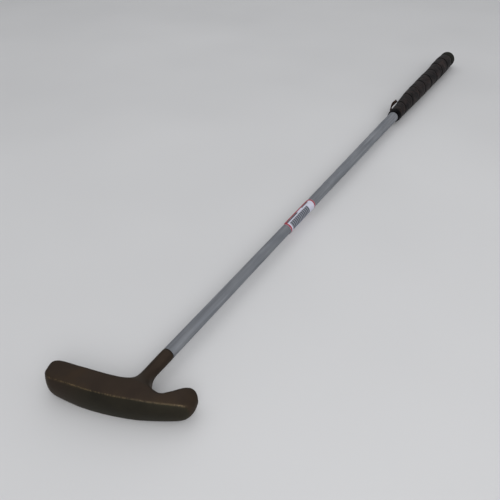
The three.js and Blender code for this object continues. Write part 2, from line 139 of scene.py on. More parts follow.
# %% Material helpers
class Finish:
    """A Principled material and the nodes that feed it."""

    def __init__(self, name, **sockets):
        self.material = bpy.data.materials.new(name)
        self.material.use_nodes = True
        self.tree = self.material.node_tree
        self.shader = self.tree.nodes["Principled BSDF"]
        self.coordinates = self.tree.nodes.new("ShaderNodeTexCoord").outputs["Object"]
        for socket, value in sockets.items():
            self.shader.inputs[socket.replace("_", " ")].default_value = value

    def node(self, kind, **settings):
        node = self.tree.nodes.new(kind)
        for key, value in settings.items():
            setattr(node, key, value)
        return node

    def link(self, source, target):
        self.tree.links.new(source, target)

    def stretched(self, scale, rotation=(0, 0, 0)):
        mapping = self.node("ShaderNodeMapping")
        mapping.inputs["Scale"].default_value = scale
        mapping.inputs["Rotation"].default_value = rotation
        self.link(self.coordinates, mapping.inputs["Vector"])
        return mapping.outputs["Vector"]

    def noise(self, scale, detail=4.0, roughness=0.55, vector=None):
        noise = self.node("ShaderNodeTexNoise")
        noise.inputs["Scale"].default_value = scale
        noise.inputs["Detail"].default_value = detail
        noise.inputs["Roughness"].default_value = roughness
        self.link(vector or self.coordinates, noise.inputs["Vector"])
        return noise.outputs["Fac"]

    def attribute(self, name):
        return self.node("ShaderNodeAttribute", attribute_name=name).outputs["Fac"]

    def ramp(self, value, stops):
        """Turns a value into a colour through (place, colour) stops."""
        ramp = self.node("ShaderNodeValToRGB")
        while len(ramp.color_ramp.elements) < len(stops):
            ramp.color_ramp.elements.new(1.0)
        for element, (place, colour) in zip(ramp.color_ramp.elements, stops):
            element.position = place
            if not isinstance(colour, tuple):
                colour = (colour, colour, colour)
            element.color = (*colour, 1.0)
        self.link(value, ramp.inputs["Fac"])
        return ramp.outputs["Color"]

    def calc(self, operation, first, second, clamp=False):
        node = self.node("ShaderNodeMath", operation=operation, use_clamp=clamp)
        for socket, value in zip(node.inputs, (first, second)):
            if isinstance(value, (int, float)):
                socket.default_value = value
            else:
                self.link(value, socket)
        return node.outputs[0]

    def blend(self, amount, first, second, mode="MIX"):
        node = self.node("ShaderNodeMix", data_type="RGBA", blend_type=mode)
        for key, value in ((0, amount), (6, first), (7, second)):
            if isinstance(value, tuple):
                node.inputs[key].default_value = (*value, 1.0)
            elif isinstance(value, (int, float)):
                node.inputs[key].default_value = value
            else:
                self.link(value, node.inputs[key])
        return node.outputs[2]

    def colour(self, source):
        self.link(source, self.shader.inputs["Base Color"])

    def roughness(self, source):
        self.link(source, self.shader.inputs["Roughness"])

    def bump(self, height, strength, distance):
        bump = self.node("ShaderNodeBump")
        bump.inputs["Strength"].default_value = strength
        bump.inputs["Distance"].default_value = distance
        self.link(height, bump.inputs["Height"])
        self.link(bump.outputs["Normal"], self.shader.inputs["Normal"])


print("material helpers ready")

# %% [markdown]
# ## Floor and light
# The floor is a plain pale sheet. The photograph's shadows are soft and lie on both sides, so an
# even studio background gives about half of the floor's light. Four wide lamps shape the rest.
# The strongest stands behind the camera, a little to its right.

# %% Floor
floor_finish = Finish("pale_floor", Roughness=0.75)
floor_finish.colour(floor_finish.ramp(
    floor_finish.noise(3.0, detail=2.0), [(0.3, (0.62, 0.62, 0.63)), (0.7, (0.66, 0.66, 0.67))]))
floor_mesh = bpy.data.meshes.new("floor")
floor_mesh.from_pydata([(-4, -4, 0), (5, -4, 0), (5, 4, 0), (-4, 4, 0)], [], [(0, 1, 2, 3)])
floor = add_object("floor", floor_mesh, smooth=False)
floor.data.materials.append(floor_finish.material)
print("floor is", round(floor.dimensions.x, 1), "m wide")

# %% Lamps
def add_lamp(name, place, target, size, power):
    data = bpy.data.lights.new(name, "AREA")
    data.shape = "DISK"
    data.size = size
    data.energy = power
    lamp = bpy.data.objects.new(name, data)
    lamp.location = place
    lamp.rotation_euler = (Vector(target) - Vector(place)).to_track_quat("-Z", "Y").to_euler()
    bpy.context.collection.objects.link(lamp)
    return lamp


add_lamp("front_lamp", (-0.9, -1.0, 1.2), (0.2, -0.1, 0.0), 1.6, 17.5)
add_lamp("far_lamp", (1.5, 0.6, 1.5), (0.4, 0.0, 0.0), 2.0, 4.5)
add_lamp("heel_lamp", (0.3, -1.2, 1.3), (0.2, -0.1, 0.0), 1.6, 3.5)
add_lamp("toe_lamp", (0.1, 0.5, 1.6), (0.2, -0.1, 0.0), 1.8, 3.2)
world = bpy.data.worlds.new("studio")
world.use_nodes = True
world.node_tree.nodes["Background"].inputs["Color"].default_value = (0.97, 0.985, 1.0, 1.0)
world.node_tree.nodes["Background"].inputs["Strength"].default_value = 0.42
bpy.context.scene.world = world
bpy.context.scene.view_settings.view_transform = "Standard"
print("four lamps and a soft studio background")

# %% [markdown]
# ## Head
# The real head is one casting, polished and then darkened, so its edges are soft and the neck
# flows into the blade. The solid already has the form. A voxel remesh gives it an even skin of
# half-millimetre faces, and ten rounds of smoothing melt its facets and soften the edges.
# The toe and the neck's root are rounder in the photograph, so they get more rounds there. The
# last of these moves points up and down only, so the root sinks into the face and stays as wide.

# %% Head skin
def evaluated_mesh(piece, name):
    """Bakes a piece's modifiers into a plain mesh."""
    graph = bpy.context.evaluated_depsgraph_get()
    mesh = bpy.data.meshes.new_from_object(piece.evaluated_get(graph))
    mesh.name = name
    return mesh


def merged_copy(node):
    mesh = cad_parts[node].data.copy()
    mesh.materials.clear()
    turn_outwards(mesh)
    return mesh


def soft_skin(name, mesh, voxel, rounds):
    work = bpy.data.objects.new(name, mesh)
    bpy.context.collection.objects.link(work)
    remesh = work.modifiers.new("skin", "REMESH")
    remesh.mode = "VOXEL"
    remesh.voxel_size = voxel
    smooth = work.modifiers.new("melt", "SMOOTH")
    smooth.factor = 0.5
    smooth.iterations = rounds
    result = evaluated_mesh(work, name)
    bpy.data.objects.remove(work)
    return result


SKIN_FACE = 0.5 * MM
SKIN_ROUNDS = 10
head_skin = soft_skin("head_casting", merged_copy("head"), SKIN_FACE, SKIN_ROUNDS)
print("head casting:", len(head_skin.polygons), "faces")

# %% Rounder places
NECK_ROOT = Vector((12 * MM, -10 * MM, SHAFT_HEIGHT))
TOE_TIP = Vector((-17 * MM, 62 * MM, SHAFT_HEIGHT))
TOE_REACH, TOE_ROUNDS = 24 * MM, 50
NECK_REACH, NECK_ROUNDS = 26 * MM, 20
SINK_REACH, SINK_ROUNDS = 36 * MM, 200


def rounder(mesh, centre, reach, rounds, only_upright=False):
    """More smoothing about a centre, fading out to nothing at its reach."""
    work = bpy.data.objects.new("rounder", mesh)
    bpy.context.collection.objects.link(work)
    group = work.vertex_groups.new(name="round_here")
    for vertex in mesh.vertices:
        weight = 1.5 - 1.5 * (vertex.co - centre).length / reach
        if weight > 0:
            group.add([vertex.index], min(weight, 1.0), "REPLACE")
    smooth = work.modifiers.new("round", "SMOOTH")
    smooth.factor = 0.5
    smooth.iterations = rounds
    smooth.use_x = smooth.use_y = not only_upright
    smooth.vertex_group = group.name
    result = evaluated_mesh(work, mesh.name)
    bpy.data.objects.remove(work)
    return result


head_skin = rounder(head_skin, TOE_TIP, TOE_REACH, TOE_ROUNDS)
head_skin = rounder(head_skin, NECK_ROOT, NECK_REACH, NECK_ROUNDS)
head_skin = rounder(head_skin, NECK_ROOT, SINK_REACH, SINK_ROUNDS, only_upright=True)
head = add_object("head_casting", head_skin)
print("rounder at the neck's root and at the toe")

# %% [markdown]
# ### Where the patina wears
# Grass and club bags rub the dark patina off the sharpest edges first, and here those are the
# two edges of the sole. How sharp the skin bends is measured at every point: a point that
# stands out beyond the middle of its neighbours, along its own normal, is on an edge. Only
# points near the sole's curve and inside the faces are let through. The wear fades towards
# heel and toe, and its brightness along the heel's half follows the photograph.

# %% The sole's curve
LIE_ANGLE = math.radians(71.7)
SOLE_DEPTH = 9.9 * MM
SOLE_RADIUS = 218 * MM
SOLE_LOW_POINT = 3.5 * MM


def above_sole(x, y):
    """Place along the blade, and height above the sole's curve."""
    along = y * math.sin(LIE_ANGLE) - x * math.cos(LIE_ANGLE)
    up = x * math.sin(LIE_ANGLE) + y * math.cos(LIE_ANGLE)
    return along, up - ((along - SOLE_LOW_POINT) ** 2 / (2 * SOLE_RADIUS) - SOLE_DEPTH)


print("sole is", round(-1000 * above_sole(0.0, 0.0)[1], 1), "mm from the shaft's line")

# %% Edge wear
EDGE_HEIGHT = 0.1 * MM
EDGE_REACH = 0.6 * MM
FACE_MARGIN = 0.1 * MM
FACE_FADE = 0.5 * MM
WEAR_MIDDLE = 4 * MM
WEAR_HALF = 70 * MM
WEAR_FADE = 22 * MM
WEAR_THRESHOLD = 0.35
SHARP_BEND = 0.022 * MM
HEEL_PLACES = np.array([-44, -36, -10, 10]) * MM
HEEL_BRIGHTNESS = [0.9, 0.5, 0.6, 1.0]
HAZE_HEIGHT = 6 * MM
BELOW_SOLE = -0.5 * MM
SOLE_FADE = 0.8 * MM
SOLE_TINT_END = 52 * MM
SOLE_TINT_FADE = 30 * MM


def store_values(mesh, name, values):
    mesh.attributes.new(name, "FLOAT", "POINT").data.foreach_set("value", values)


def edge_wear(mesh, strength):
    count = len(mesh.vertices)
    points = np.empty(count * 3)
    normals = np.empty(count * 3)
    mesh.vertices.foreach_get("co", points)
    mesh.vertices.foreach_get("normal", normals)
    points, normals = points.reshape(-1, 3), normals.reshape(-1, 3)
    edges = np.empty(len(mesh.edges) * 2, dtype=np.int64)
    mesh.edges.foreach_get("vertices", edges)
    a, b = edges.reshape(-1, 2).T
    total = np.zeros((count, 3))
    links = np.bincount(np.concatenate([a, b]), minlength=count)
    np.add.at(total, a, points[b])
    np.add.at(total, b, points[a])
    middle = total / links[:, None]
    bend = np.einsum("ij,ij->i", points - middle, normals)
    for _ in range(2):
        spread = np.zeros(count)
        np.add.at(spread, a, bend[b])
        np.add.at(spread, b, bend[a])
        bend = 0.5 * bend + 0.5 * spread / links
    along, height = above_sole(points[:, 0], points[:, 1])
    near_edge = np.clip(1.5 - np.abs(height - EDGE_HEIGHT) / EDGE_REACH, 0.0, 1.0)
    along_edge = np.clip((WEAR_HALF - np.abs(along - WEAR_MIDDLE)) / WEAR_FADE, 0.0, 1.0)
    below_face = SHAFT_HEIGHT - np.abs(points[:, 2] - SHAFT_HEIGHT)
    near_edge *= np.clip((below_face - FACE_MARGIN) / FACE_FADE, 0.0, 1.0)
    bright = np.interp(along, HEEL_PLACES, HEEL_BRIGHTNESS)
    sharp = np.clip(bend * strength - WEAR_THRESHOLD, 0.0, 1.0)
    wear = sharp * near_edge * (0.25 + 0.75 * along_edge) * bright
    band = np.clip(1.0 - height / HAZE_HEIGHT, 0.0, 1.0) * (height > BELOW_SOLE) * along_edge
    at_sole = np.clip(1.0 - height / SOLE_FADE, 0.0, 1.0)
    # Where the sole is painted darker, as painted shade, and greener; this fades out towards the toe.
    on_sole = at_sole * np.clip((SOLE_TINT_END - along) / SOLE_TINT_FADE, 0.0, 1.0)
    store_values(mesh, "edge_wear", wear)
    store_values(mesh, "near_edge", band)
    store_values(mesh, "on_sole", on_sole)
    return wear


head_wear = edge_wear(head.data, 1.0 / SHARP_BEND)
print("share of the head that is worn edge:", round(float((head_wear > 0.5).mean()), 3))

# %% [markdown]
# ### Bronze
# The patina is a nearly black brown with warmer clouds, and it dulls the metal, also where it
# is seen at a slant. The sole is darkened a little with painted shade, and it is greener.
# A warmer haze lies beside the sole's edges. On the edges themselves the patina is broken
# through in short strokes, down to a muted gold. Coarse noise makes the gaps and fine noise the strokes.

# %% Bronze finish
bronze = Finish("dark_bronze", Metallic=1.0, Specular_Tint=(0.86, 0.86, 0.83, 1.0))
clouds = bronze.noise(45.0, detail=6.0)
grain = bronze.noise(900.0, detail=3.0)
patina = bronze.ramp(clouds, [(0.3, (0.041, 0.030, 0.024)), (0.55, (0.053, 0.039, 0.030)),
                              (0.75, (0.066, 0.046, 0.032))])
gaps = bronze.ramp(bronze.noise(70.0, detail=2.0), [(0.36, 0.25), (0.58, 1.0)])
strokes = bronze.ramp(bronze.noise(650.0, detail=4.0), [(0.4, 0.1), (0.56, 1.0)])
breaks = bronze.calc("MULTIPLY", gaps, strokes)
rub = bronze.calc("MULTIPLY", bronze.attribute("edge_wear"), breaks, clamp=True)
cloudy = bronze.ramp(clouds, [(0.4, 0.0), (0.65, 0.35)])
haze = bronze.calc("MULTIPLY", bronze.attribute("near_edge"), cloudy)
warm = bronze.blend(haze, patina, (0.085, 0.058, 0.032))
MUTED_GOLD = (0.33, 0.235, 0.132)
# Painted shade on the sole: its colour is multiplied darker, and greener.
shaded_greener = bronze.blend(1.0, warm, (0.76, 0.92, 0.88), "MULTIPLY")
sole_shade_and_tint = bronze.blend(bronze.attribute("on_sole"), warm, shaded_greener)
bronze.colour(bronze.blend(rub, sole_shade_and_tint, MUTED_GOLD))
bronze.roughness(bronze.ramp(clouds, [(0.3, 0.5), (0.7, 0.62)]))
bronze.bump(grain, 0.25, 0.05 * MM)
head.data.materials.append(bronze.material)
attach(head, "root")
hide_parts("head")
print("bronze on", head.name)

# %% [markdown]
# ## Shaft
# A steel putter shaft is drawn down in steps, nine here, each a few tenths of a millimetre
# larger than the last. The tube is turned from its outline, with its wall and open bore.

# %% Shaft tube
SHAFT_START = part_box("shaft")[0][0]
SHAFT_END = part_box("shaft")[1][0]
TIP_RADIUS = 5.1 * MM
STEP_RISE = 0.2 * MM
STEP_PITCH = 36 * MM
PARALLEL_TIP = 217.8 * MM
STEP_SLOPE = 1.2 * MM
STEP_COUNT = 9
SHAFT_WALL = 0.6 * MM


def shaft_outline():
    outline = [(SHAFT_START, TIP_RADIUS - 0.1 * MM), (SHAFT_START + 0.1 * MM, TIP_RADIUS)]
    for i in range(STEP_COUNT):
        step = SHAFT_START + PARALLEL_TIP + i * STEP_PITCH
        for share in (0.0, 0.25, 0.5, 0.75, 1.0):
            eased = share * share * (3 - 2 * share)
            outline.append((step + share * STEP_SLOPE, TIP_RADIUS + (i + eased) * STEP_RISE))
    butt_radius = TIP_RADIUS + STEP_COUNT * STEP_RISE
    outline.append((SHAFT_END, butt_radius))
    inside = [(along, radius - SHAFT_WALL) for along, radius in reversed(outline[1:])]
    return outline + inside


shaft = add_object("shaft_tube", turned("shaft_tube", shaft_outline(), closed=True))
print("shaft tube:", len(shaft.data.polygons), "faces")

# %% [markdown]
# ### Satin steel
# The chrome has gone dull, nearly matt. Fine marks run round the tube, so their noise is
# stretched: very fine along the shaft and coarse across it. A wider noise adds grey bloom,
# and one drawn out along the shaft adds the dull streaks that wiping leaves.

# %% Steel finish
steel = Finish("satin_steel", Metallic=0.8)
marks = steel.noise(1.0, detail=3.0, vector=steel.stretched((2500.0, 60.0, 60.0)))
bloom = steel.noise(1.0, detail=5.0, vector=steel.stretched((30.0, 120.0, 120.0)))
streaks = steel.noise(1.0, detail=4.0, vector=steel.stretched((14.0, 420.0, 420.0)))
tone = steel.ramp(bloom, [(0.32, (0.235, 0.248, 0.275)), (0.68, (0.33, 0.342, 0.366))])
steel.colour(steel.blend(1.0, tone, steel.ramp(streaks, [(0.3, 0.78), (0.7, 1.12)]), "MULTIPLY"))
steel.roughness(steel.ramp(bloom, [(0.3, 0.84), (0.7, 0.94)]))
steel.bump(marks, 0.15, 0.02 * MM)
shaft.data.materials.append(steel.material)
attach(shaft, "root")
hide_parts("shaft")
print("steel on", shaft.name)

# %% [markdown]
# ## Label
# The label is a thin sheet wound round the shaft with rounded corners. Each point carries its
# place on the flat paper as a UV map, so the printed border and stripes can be drawn there.

# %% Label sheet
LABEL_START = 240.2 * MM
LABEL_LENGTH = 55.8 * MM
LABEL_FROM = math.radians(38)
LABEL_TO = math.radians(280)
LABEL_CORNER = 5 * MM
LABEL_RADIUS = TIP_RADIUS + STEP_RISE + 0.25 * MM
PAPER = 0.2 * MM
label_width = (LABEL_TO - LABEL_FROM) * (LABEL_RADIUS + PAPER)


def label_rows(radius, columns=64, rows=60):
    table = []
    for i in range(rows + 1):
        share = 0.5 - 0.5 * math.cos(math.pi * i / rows)
        along = LABEL_START + share * LABEL_LENGTH
        from_end = min(share, 1 - share) * LABEL_LENGTH
        short = max(0.0, LABEL_CORNER - from_end)
        inset = LABEL_CORNER - math.sqrt(LABEL_CORNER ** 2 - short ** 2)
        turn = inset / (LABEL_RADIUS + PAPER)
        angles = np.linspace(LABEL_FROM + turn, LABEL_TO - turn, columns)
        table.append([around(along, radius, angle) for angle in angles])
    return table


def shell_between(name, outer, inner):
    """Closes two matching sheets into one thin solid."""
    rows = [list(o) + list(reversed(i)) for o, i in zip(outer, inner)]
    mesh = grid_mesh(name, rows)
    work = bmesh.new()
    work.from_mesh(mesh)
    bmesh.ops.holes_fill(work, edges=work.edges, sides=0)
    bmesh.ops.recalc_face_normals(work, faces=work.faces)
    work.to_mesh(mesh)
    work.free()
    return mesh


label = add_object("paper_label", shell_between(
    "paper_label", label_rows(LABEL_RADIUS + PAPER), label_rows(LABEL_RADIUS)))
paper_map = label.data.uv_layers.new(name="paper_map")
for loop in label.data.loops:
    point = label.data.vertices[loop.vertex_index].co
    angle = math.atan2(point.z - SHAFT_HEIGHT, point.y) % (2 * math.pi)
    paper_map.data[loop.index].uv = ((point.x - LABEL_START) / LABEL_LENGTH,
                                     (angle - LABEL_FROM) / (LABEL_TO - LABEL_FROM))
print("label:", round(LABEL_LENGTH * 1000), "by", round(label_width * 1000), "mm")

# %% [markdown]
# ### Print
# Nothing is written here: the label has a dark red border line, a white field, a slate block
# with faint even stripes and two plain bars. Each is a box test on the paper's own map.

# %% Label finish
STRIPES_ON_SHEET = 18
paper = Finish("printed_paper", Roughness=0.55)
paper_place = paper.node("ShaderNodeUVMap", uv_map="paper_map").outputs["UV"]
split = paper.node("ShaderNodeSeparateXYZ")
paper.link(paper_place, split.inputs[0])
length_share, width_share = split.outputs[0], split.outputs[1]


def within(finish, value, low, high):
    above = finish.calc("GREATER_THAN", value, low)
    below = finish.calc("LESS_THAN", value, high)
    return finish.calc("MULTIPLY", above, below)


def rounded_box(finish, box, corner):
    """1 inside a box on the paper, with corners rounded in real millimetres."""
    (x0, x1), (y0, y1) = box
    gaps = []
    lengthways, crossways = (length_share, x0, x1, LABEL_LENGTH), (width_share, y0, y1, label_width)
    for value, low, high, size in (lengthways, crossways):
        middle, half = (low + high) / 2, (high - low) / 2 * size
        offset = finish.calc("ABSOLUTE", finish.calc("SUBTRACT", value, middle), 0.0)
        away = finish.calc("SUBTRACT", finish.calc("MULTIPLY", offset, size), half - corner)
        gaps.append(finish.calc("MAXIMUM", away, 0.0))
    squares = [finish.calc("MULTIPLY", gap, gap) for gap in gaps]
    distance = finish.calc("SQRT", finish.calc("ADD", *squares), 0.0)
    return finish.calc("LESS_THAN", distance, corner)


def edge_box(ends, first_side, last_side, corner):
    """The sheet's outline, drawn in by a margin at its ends and at its two long sides."""
    x = ends / LABEL_LENGTH
    across_paper = (first_side / label_width, 1 - last_side / label_width)
    return rounded_box(paper, ((x, 1 - x), across_paper), corner)


def bar(length, width):
    lengthways = within(paper, length_share, *length)
    return paper.calc("MULTIPLY", lengthways, within(paper, width_share, *width))


outer_box = edge_box(0.15 * MM, 0.15 * MM, 0.15 * MM, 4.8 * MM)
inner_box = edge_box(2.4 * MM, 3.2 * MM, 1.8 * MM, 3.4 * MM)
stripe_wave = paper.calc("FRACT", paper.calc("MULTIPLY", length_share, STRIPES_ON_SHEET), 0.0)
stripe_light = paper.ramp(stripe_wave, [(0.0, 0.0), (0.5, 0.0), (0.75, 0.55), (1.0, 0.0)])
block = bar((0.08, 0.765), (0.262, 0.63))
side_bars = paper.calc("MAXIMUM", bar((0.06, 0.46), (0.135, 0.212)), bar((0.65, 0.9), (0.135, 0.19)))
printed = paper.calc("MAXIMUM", paper.calc("SUBTRACT", block, stripe_light, clamp=True), side_bars)
fade = paper.noise(300.0, detail=4.0)
red = paper.ramp(fade, [(0.3, (0.27, 0.012, 0.026)), (0.7, (0.37, 0.03, 0.05))])
white = paper.ramp(fade, [(0.3, (0.52, 0.52, 0.62)), (0.7, (0.61, 0.61, 0.72))])
slate = paper.ramp(fade, [(0.3, (0.055, 0.062, 0.077)), (0.7, (0.08, 0.09, 0.108))])
field = paper.blend(printed, white, slate)
print_colour = paper.blend(outer_box, white, red)
paper.colour(paper.blend(inner_box, print_colour, field))
paper.bump(paper.noise(1500.0), 0.1, 0.02 * MM)
label.data.materials.append(paper.material)
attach(label, "root")
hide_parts("shaft_label")
print("label printed with even stripes,", round(1000 * LABEL_LENGTH / STRIPES_ON_SHEET, 1), "mm apart")

# %% [markdown]
# ## Grip sleeve
# Under the leather is a tapered sleeve. Its solid is right as it stands and hardly shows, only
# in the grooves, so it keeps its mesh and gets a dark rubbery finish.

# %% Sleeve finish
sleeve_finish = Finish("sleeve_rubber", Roughness=0.85)
sleeve_finish.colour(sleeve_finish.ramp(
    sleeve_finish.noise(200.0), [(0.3, (0.004, 0.0035, 0.003)), (0.7, (0.012, 0.01, 0.008))]))
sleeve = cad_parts["grip_sleeve"]
sleeve.data.materials.clear()
sleeve.data.materials.append(sleeve_finish.material)
print("sleeve keeps its solid:", len(sleeve.data.polygons), "faces")

# %% [markdown]
# ## Leather strip
# A winding follows a rule, so Geometry Nodes make it. A flat grid is the strip before it is
# wound: one direction runs along the strip, the other across it. Each point is then sent to its
# place on the helix, at the grip's own radius there. The strip is skived thin at both edges, and
# the edge towards the mouth rides a little over the turn before it.

# %% Grip profile
GRIP_START = 568.5 * MM
GRIP_END = 832 * MM
GRIP_RADIUS = 12.25 * MM
GRIP_PROFILE = [(0, 0.745), (0.09, 0.76), (0.21, 0.81), (0.31, 0.865), (0.45, 0.91),
                (0.65, 0.95), (0.84, 1), (0.93, 1), (1, 0.94)]
SWELL = 2.2 * MM
SWELL_ANGLE = math.radians(40)
SWELL_PROFILE = [(0, -0.15), (0.1, 0.1), (0.18, 0.65), (0.29, 0.95), (0.45, 0.8),
                 (0.56, 0.8), (0.72, 0.45), (0.86, 0.9), (1, 1)]


def curve_at(points, share):
    """A smooth curve through points, as the maker's templates give the grip's form."""
    last = len(points) - 1
    i = 0
    while i < last - 1 and share > points[i + 1][0]:
        i += 1
    (x0, y0), (x1, y1) = points[i], points[i + 1]

    def slope(k):
        (xa, ya), (xb, yb) = points[max(k - 1, 0)], points[min(k + 1, last)]
        return (yb - ya) / (xb - xa)

    t = (share - x0) / (x1 - x0)
    rise = t * t * (3 - 2 * t) * (y1 - y0)
    return (y0 + rise + slope(i) * (x1 - x0) * t * (1 - t) ** 2
            - slope(i + 1) * (x1 - x0) * t * t * (1 - t))


def swell_towards(angle):
    """1 on the swollen side of the grip, 0 on the side across from it."""
    return ((1 + math.cos(angle - SWELL_ANGLE)) / 2) ** 2


def grip_radius(along, angle):
    share = min(max((along - GRIP_START) / (GRIP_END - GRIP_START), 0.0), 1.0)
    swell = SWELL * curve_at(SWELL_PROFILE, share) * swell_towards(angle)
    return GRIP_RADIUS * curve_at(GRIP_PROFILE, share) + swell


near_butt = GRIP_END - 0.04
widest = grip_radius(near_butt, SWELL_ANGLE) + grip_radius(near_butt, SWELL_ANGLE + math.pi)
print("grip is", round(1000 * widest, 1), "mm across near its butt")

# %% Node tree helper
class Tree:
    """A Geometry Nodes tree with named inputs, and arithmetic written as calls."""

    def __init__(self, name):
        self.group = bpy.data.node_groups.new(name, "GeometryNodeTree")
        self.group.interface.new_socket("Geometry", in_out="INPUT", socket_type="NodeSocketGeometry")
        self.group.interface.new_socket("Geometry", in_out="OUTPUT", socket_type="NodeSocketGeometry")
        self.inputs = {}
        self.entry = self.group.nodes.new("NodeGroupInput")
        self.exit = self.group.nodes.new("NodeGroupOutput")

    def input(self, name, kind, value):
        socket = self.group.interface.new_socket(name, in_out="INPUT", socket_type="NodeSocket" + kind)
        self.inputs[name] = (socket.identifier, value)
        return self.entry.outputs[name]

    def node(self, kind, inputs=None, **settings):
        node = self.group.nodes.new(kind)
        for key, value in settings.items():
            setattr(node, key, value)
        for key, value in (inputs or {}).items():
            self.feed(node.inputs[key], value)
        return node

    def feed(self, socket, value):
        if isinstance(value, bpy.types.NodeSocket):
            self.group.links.new(value, socket)
        else:
            socket.default_value = value

    def calc(self, operation, first, second=0.0):
        node = self.node("ShaderNodeMath", operation=operation)
        self.feed(node.inputs[0], first)
        self.feed(node.inputs[1], second)
        return node.outputs[0]

    def run(self, name, material, start_mesh=None):
        """Runs the tree on an object and returns the result as a plain mesh."""
        work = bpy.data.objects.new(name, start_mesh or bpy.data.meshes.new(name))
        bpy.context.collection.objects.link(work)
        modifier = work.modifiers.new("build", "NODES")
        modifier.node_group = self.group
        for identifier, value in self.inputs.values():
            modifier[identifier] = value
        mesh = evaluated_mesh(work, name)
        work.modifiers.remove(modifier)
        bpy.data.objects.remove(work)
        if not mesh.materials:
            mesh.materials.append(material)
        return mesh


print("node tree helper ready")

# %% [markdown]
# ### Leather
# The strip is dark grey-brown, with redder patches where hands have worn it. The seams are
# darkened with painted shade, more at some turns than others, so the tree stores how far each
# point lies across the strip, and how far along it. The leather is also darker towards the mouth.

# %% Leather finish
leather = Finish("grip_leather")
leather.shader.inputs["Specular IOR Level"].default_value = 0.07
blotches = leather.noise(75.0, detail=5.0, roughness=0.65)
pores = leather.noise(1100.0, detail=3.0)
creases = leather.noise(1.0, detail=5.0, vector=leather.stretched((420.0, 160.0, 160.0)))
worn = leather.ramp(blotches, [(0.36, (0.0100, 0.0090, 0.0096)), (0.5, (0.0145, 0.0120, 0.0122)),
                               (0.64, (0.0265, 0.0172, 0.0156))])
tint = leather.ramp(creases, [(0.36, 0.45), (0.64, 1.6)])
across = leather.attribute("across")
from_middle = leather.calc("ABSOLUTE", leather.calc("SUBTRACT", across, 0.5), 0.0)
# Painted shade in the seams: the colour darkens near both edges of the strip.
seam_shade_ramp = leather.ramp(from_middle, [(0.45, 1.0), (0.475, 0.1)])
# How deep the painted seam shade is changes from turn to turn along the strip.
seam_shade_strength = leather.ramp(leather.attribute("turn_share"), [
    (0.0, 0.35), (0.2, 0.9), (0.42, 0.2), (0.6, 0.9), (0.72, 0.45), (0.86, 1.0)])
seams = leather.blend(seam_shade_strength, (1.0, 1.0, 1.0), seam_shade_ramp)
along = leather.node("ShaderNodeSeparateXYZ")
leather.link(leather.coordinates, along.inputs[0])
from_mouth = leather.calc("SUBTRACT", along.outputs[0], GRIP_START)
from_mouth = leather.calc("DIVIDE", from_mouth, 30 * MM, clamp=True)
# The leather is darker towards the mouth, up to about 21 mm from it.
mouth_darkening = leather.ramp(from_mouth, [(0.0, 0.3), (0.25, 0.85), (0.7, 1.0)])
hide = leather.blend(1.0, leather.blend(1.0, worn, tint, "MULTIPLY"), mouth_darkening, "MULTIPLY")
leather.colour(leather.blend(1.0, hide, seams, "MULTIPLY"))
leather.roughness(leather.ramp(blotches, [(0.35, 0.62), (0.65, 0.5)]))
leather.bump(leather.calc("ADD", leather.calc("MULTIPLY", pores, 0.5), creases), 0.5, 0.12 * MM)
print("leather ready")

# %% The winding
STRIP_PITCH = 30 * MM
STRIP_GROOVE = 0.5 * MM
STRIP_THICKNESS = 1.1 * MM
STRIP_END_WIDTH = 3 * MM
STRIP_LAP = 0.18 * MM
STRIP_SKIVE = 0.45 * MM
STRIP_UNEVENNESS = 0.5 * MM
MOUTH_CLEARANCE = 0.25 * MM
TAIL_ANGLE = math.radians(24)
FIRST = GRIP_START + MOUTH_CLEARANCE
STRIP_WIDTH = STRIP_PITCH - STRIP_GROOVE
TURNS = (SHAFT_END - FIRST + STRIP_WIDTH - 2 * STRIP_END_WIDTH) / STRIP_PITCH


def share_curve(tree, points, share):
    """A float curve node that follows curve_at through the points."""
    node = tree.node("ShaderNodeFloatCurve", {"Value": share})
    node.mapping.clip_min_y = -1.0
    curve = node.mapping.curves[0]
    steps = 24
    samples = [(k / steps, curve_at(points, k / steps)) for k in range(steps + 1)]
    curve.points[0].location = samples[0]
    curve.points[1].location = samples[-1]
    for place, value in samples[1:-1]:
        curve.points.new(place, value)
    node.mapping.update()
    return node.outputs[0]


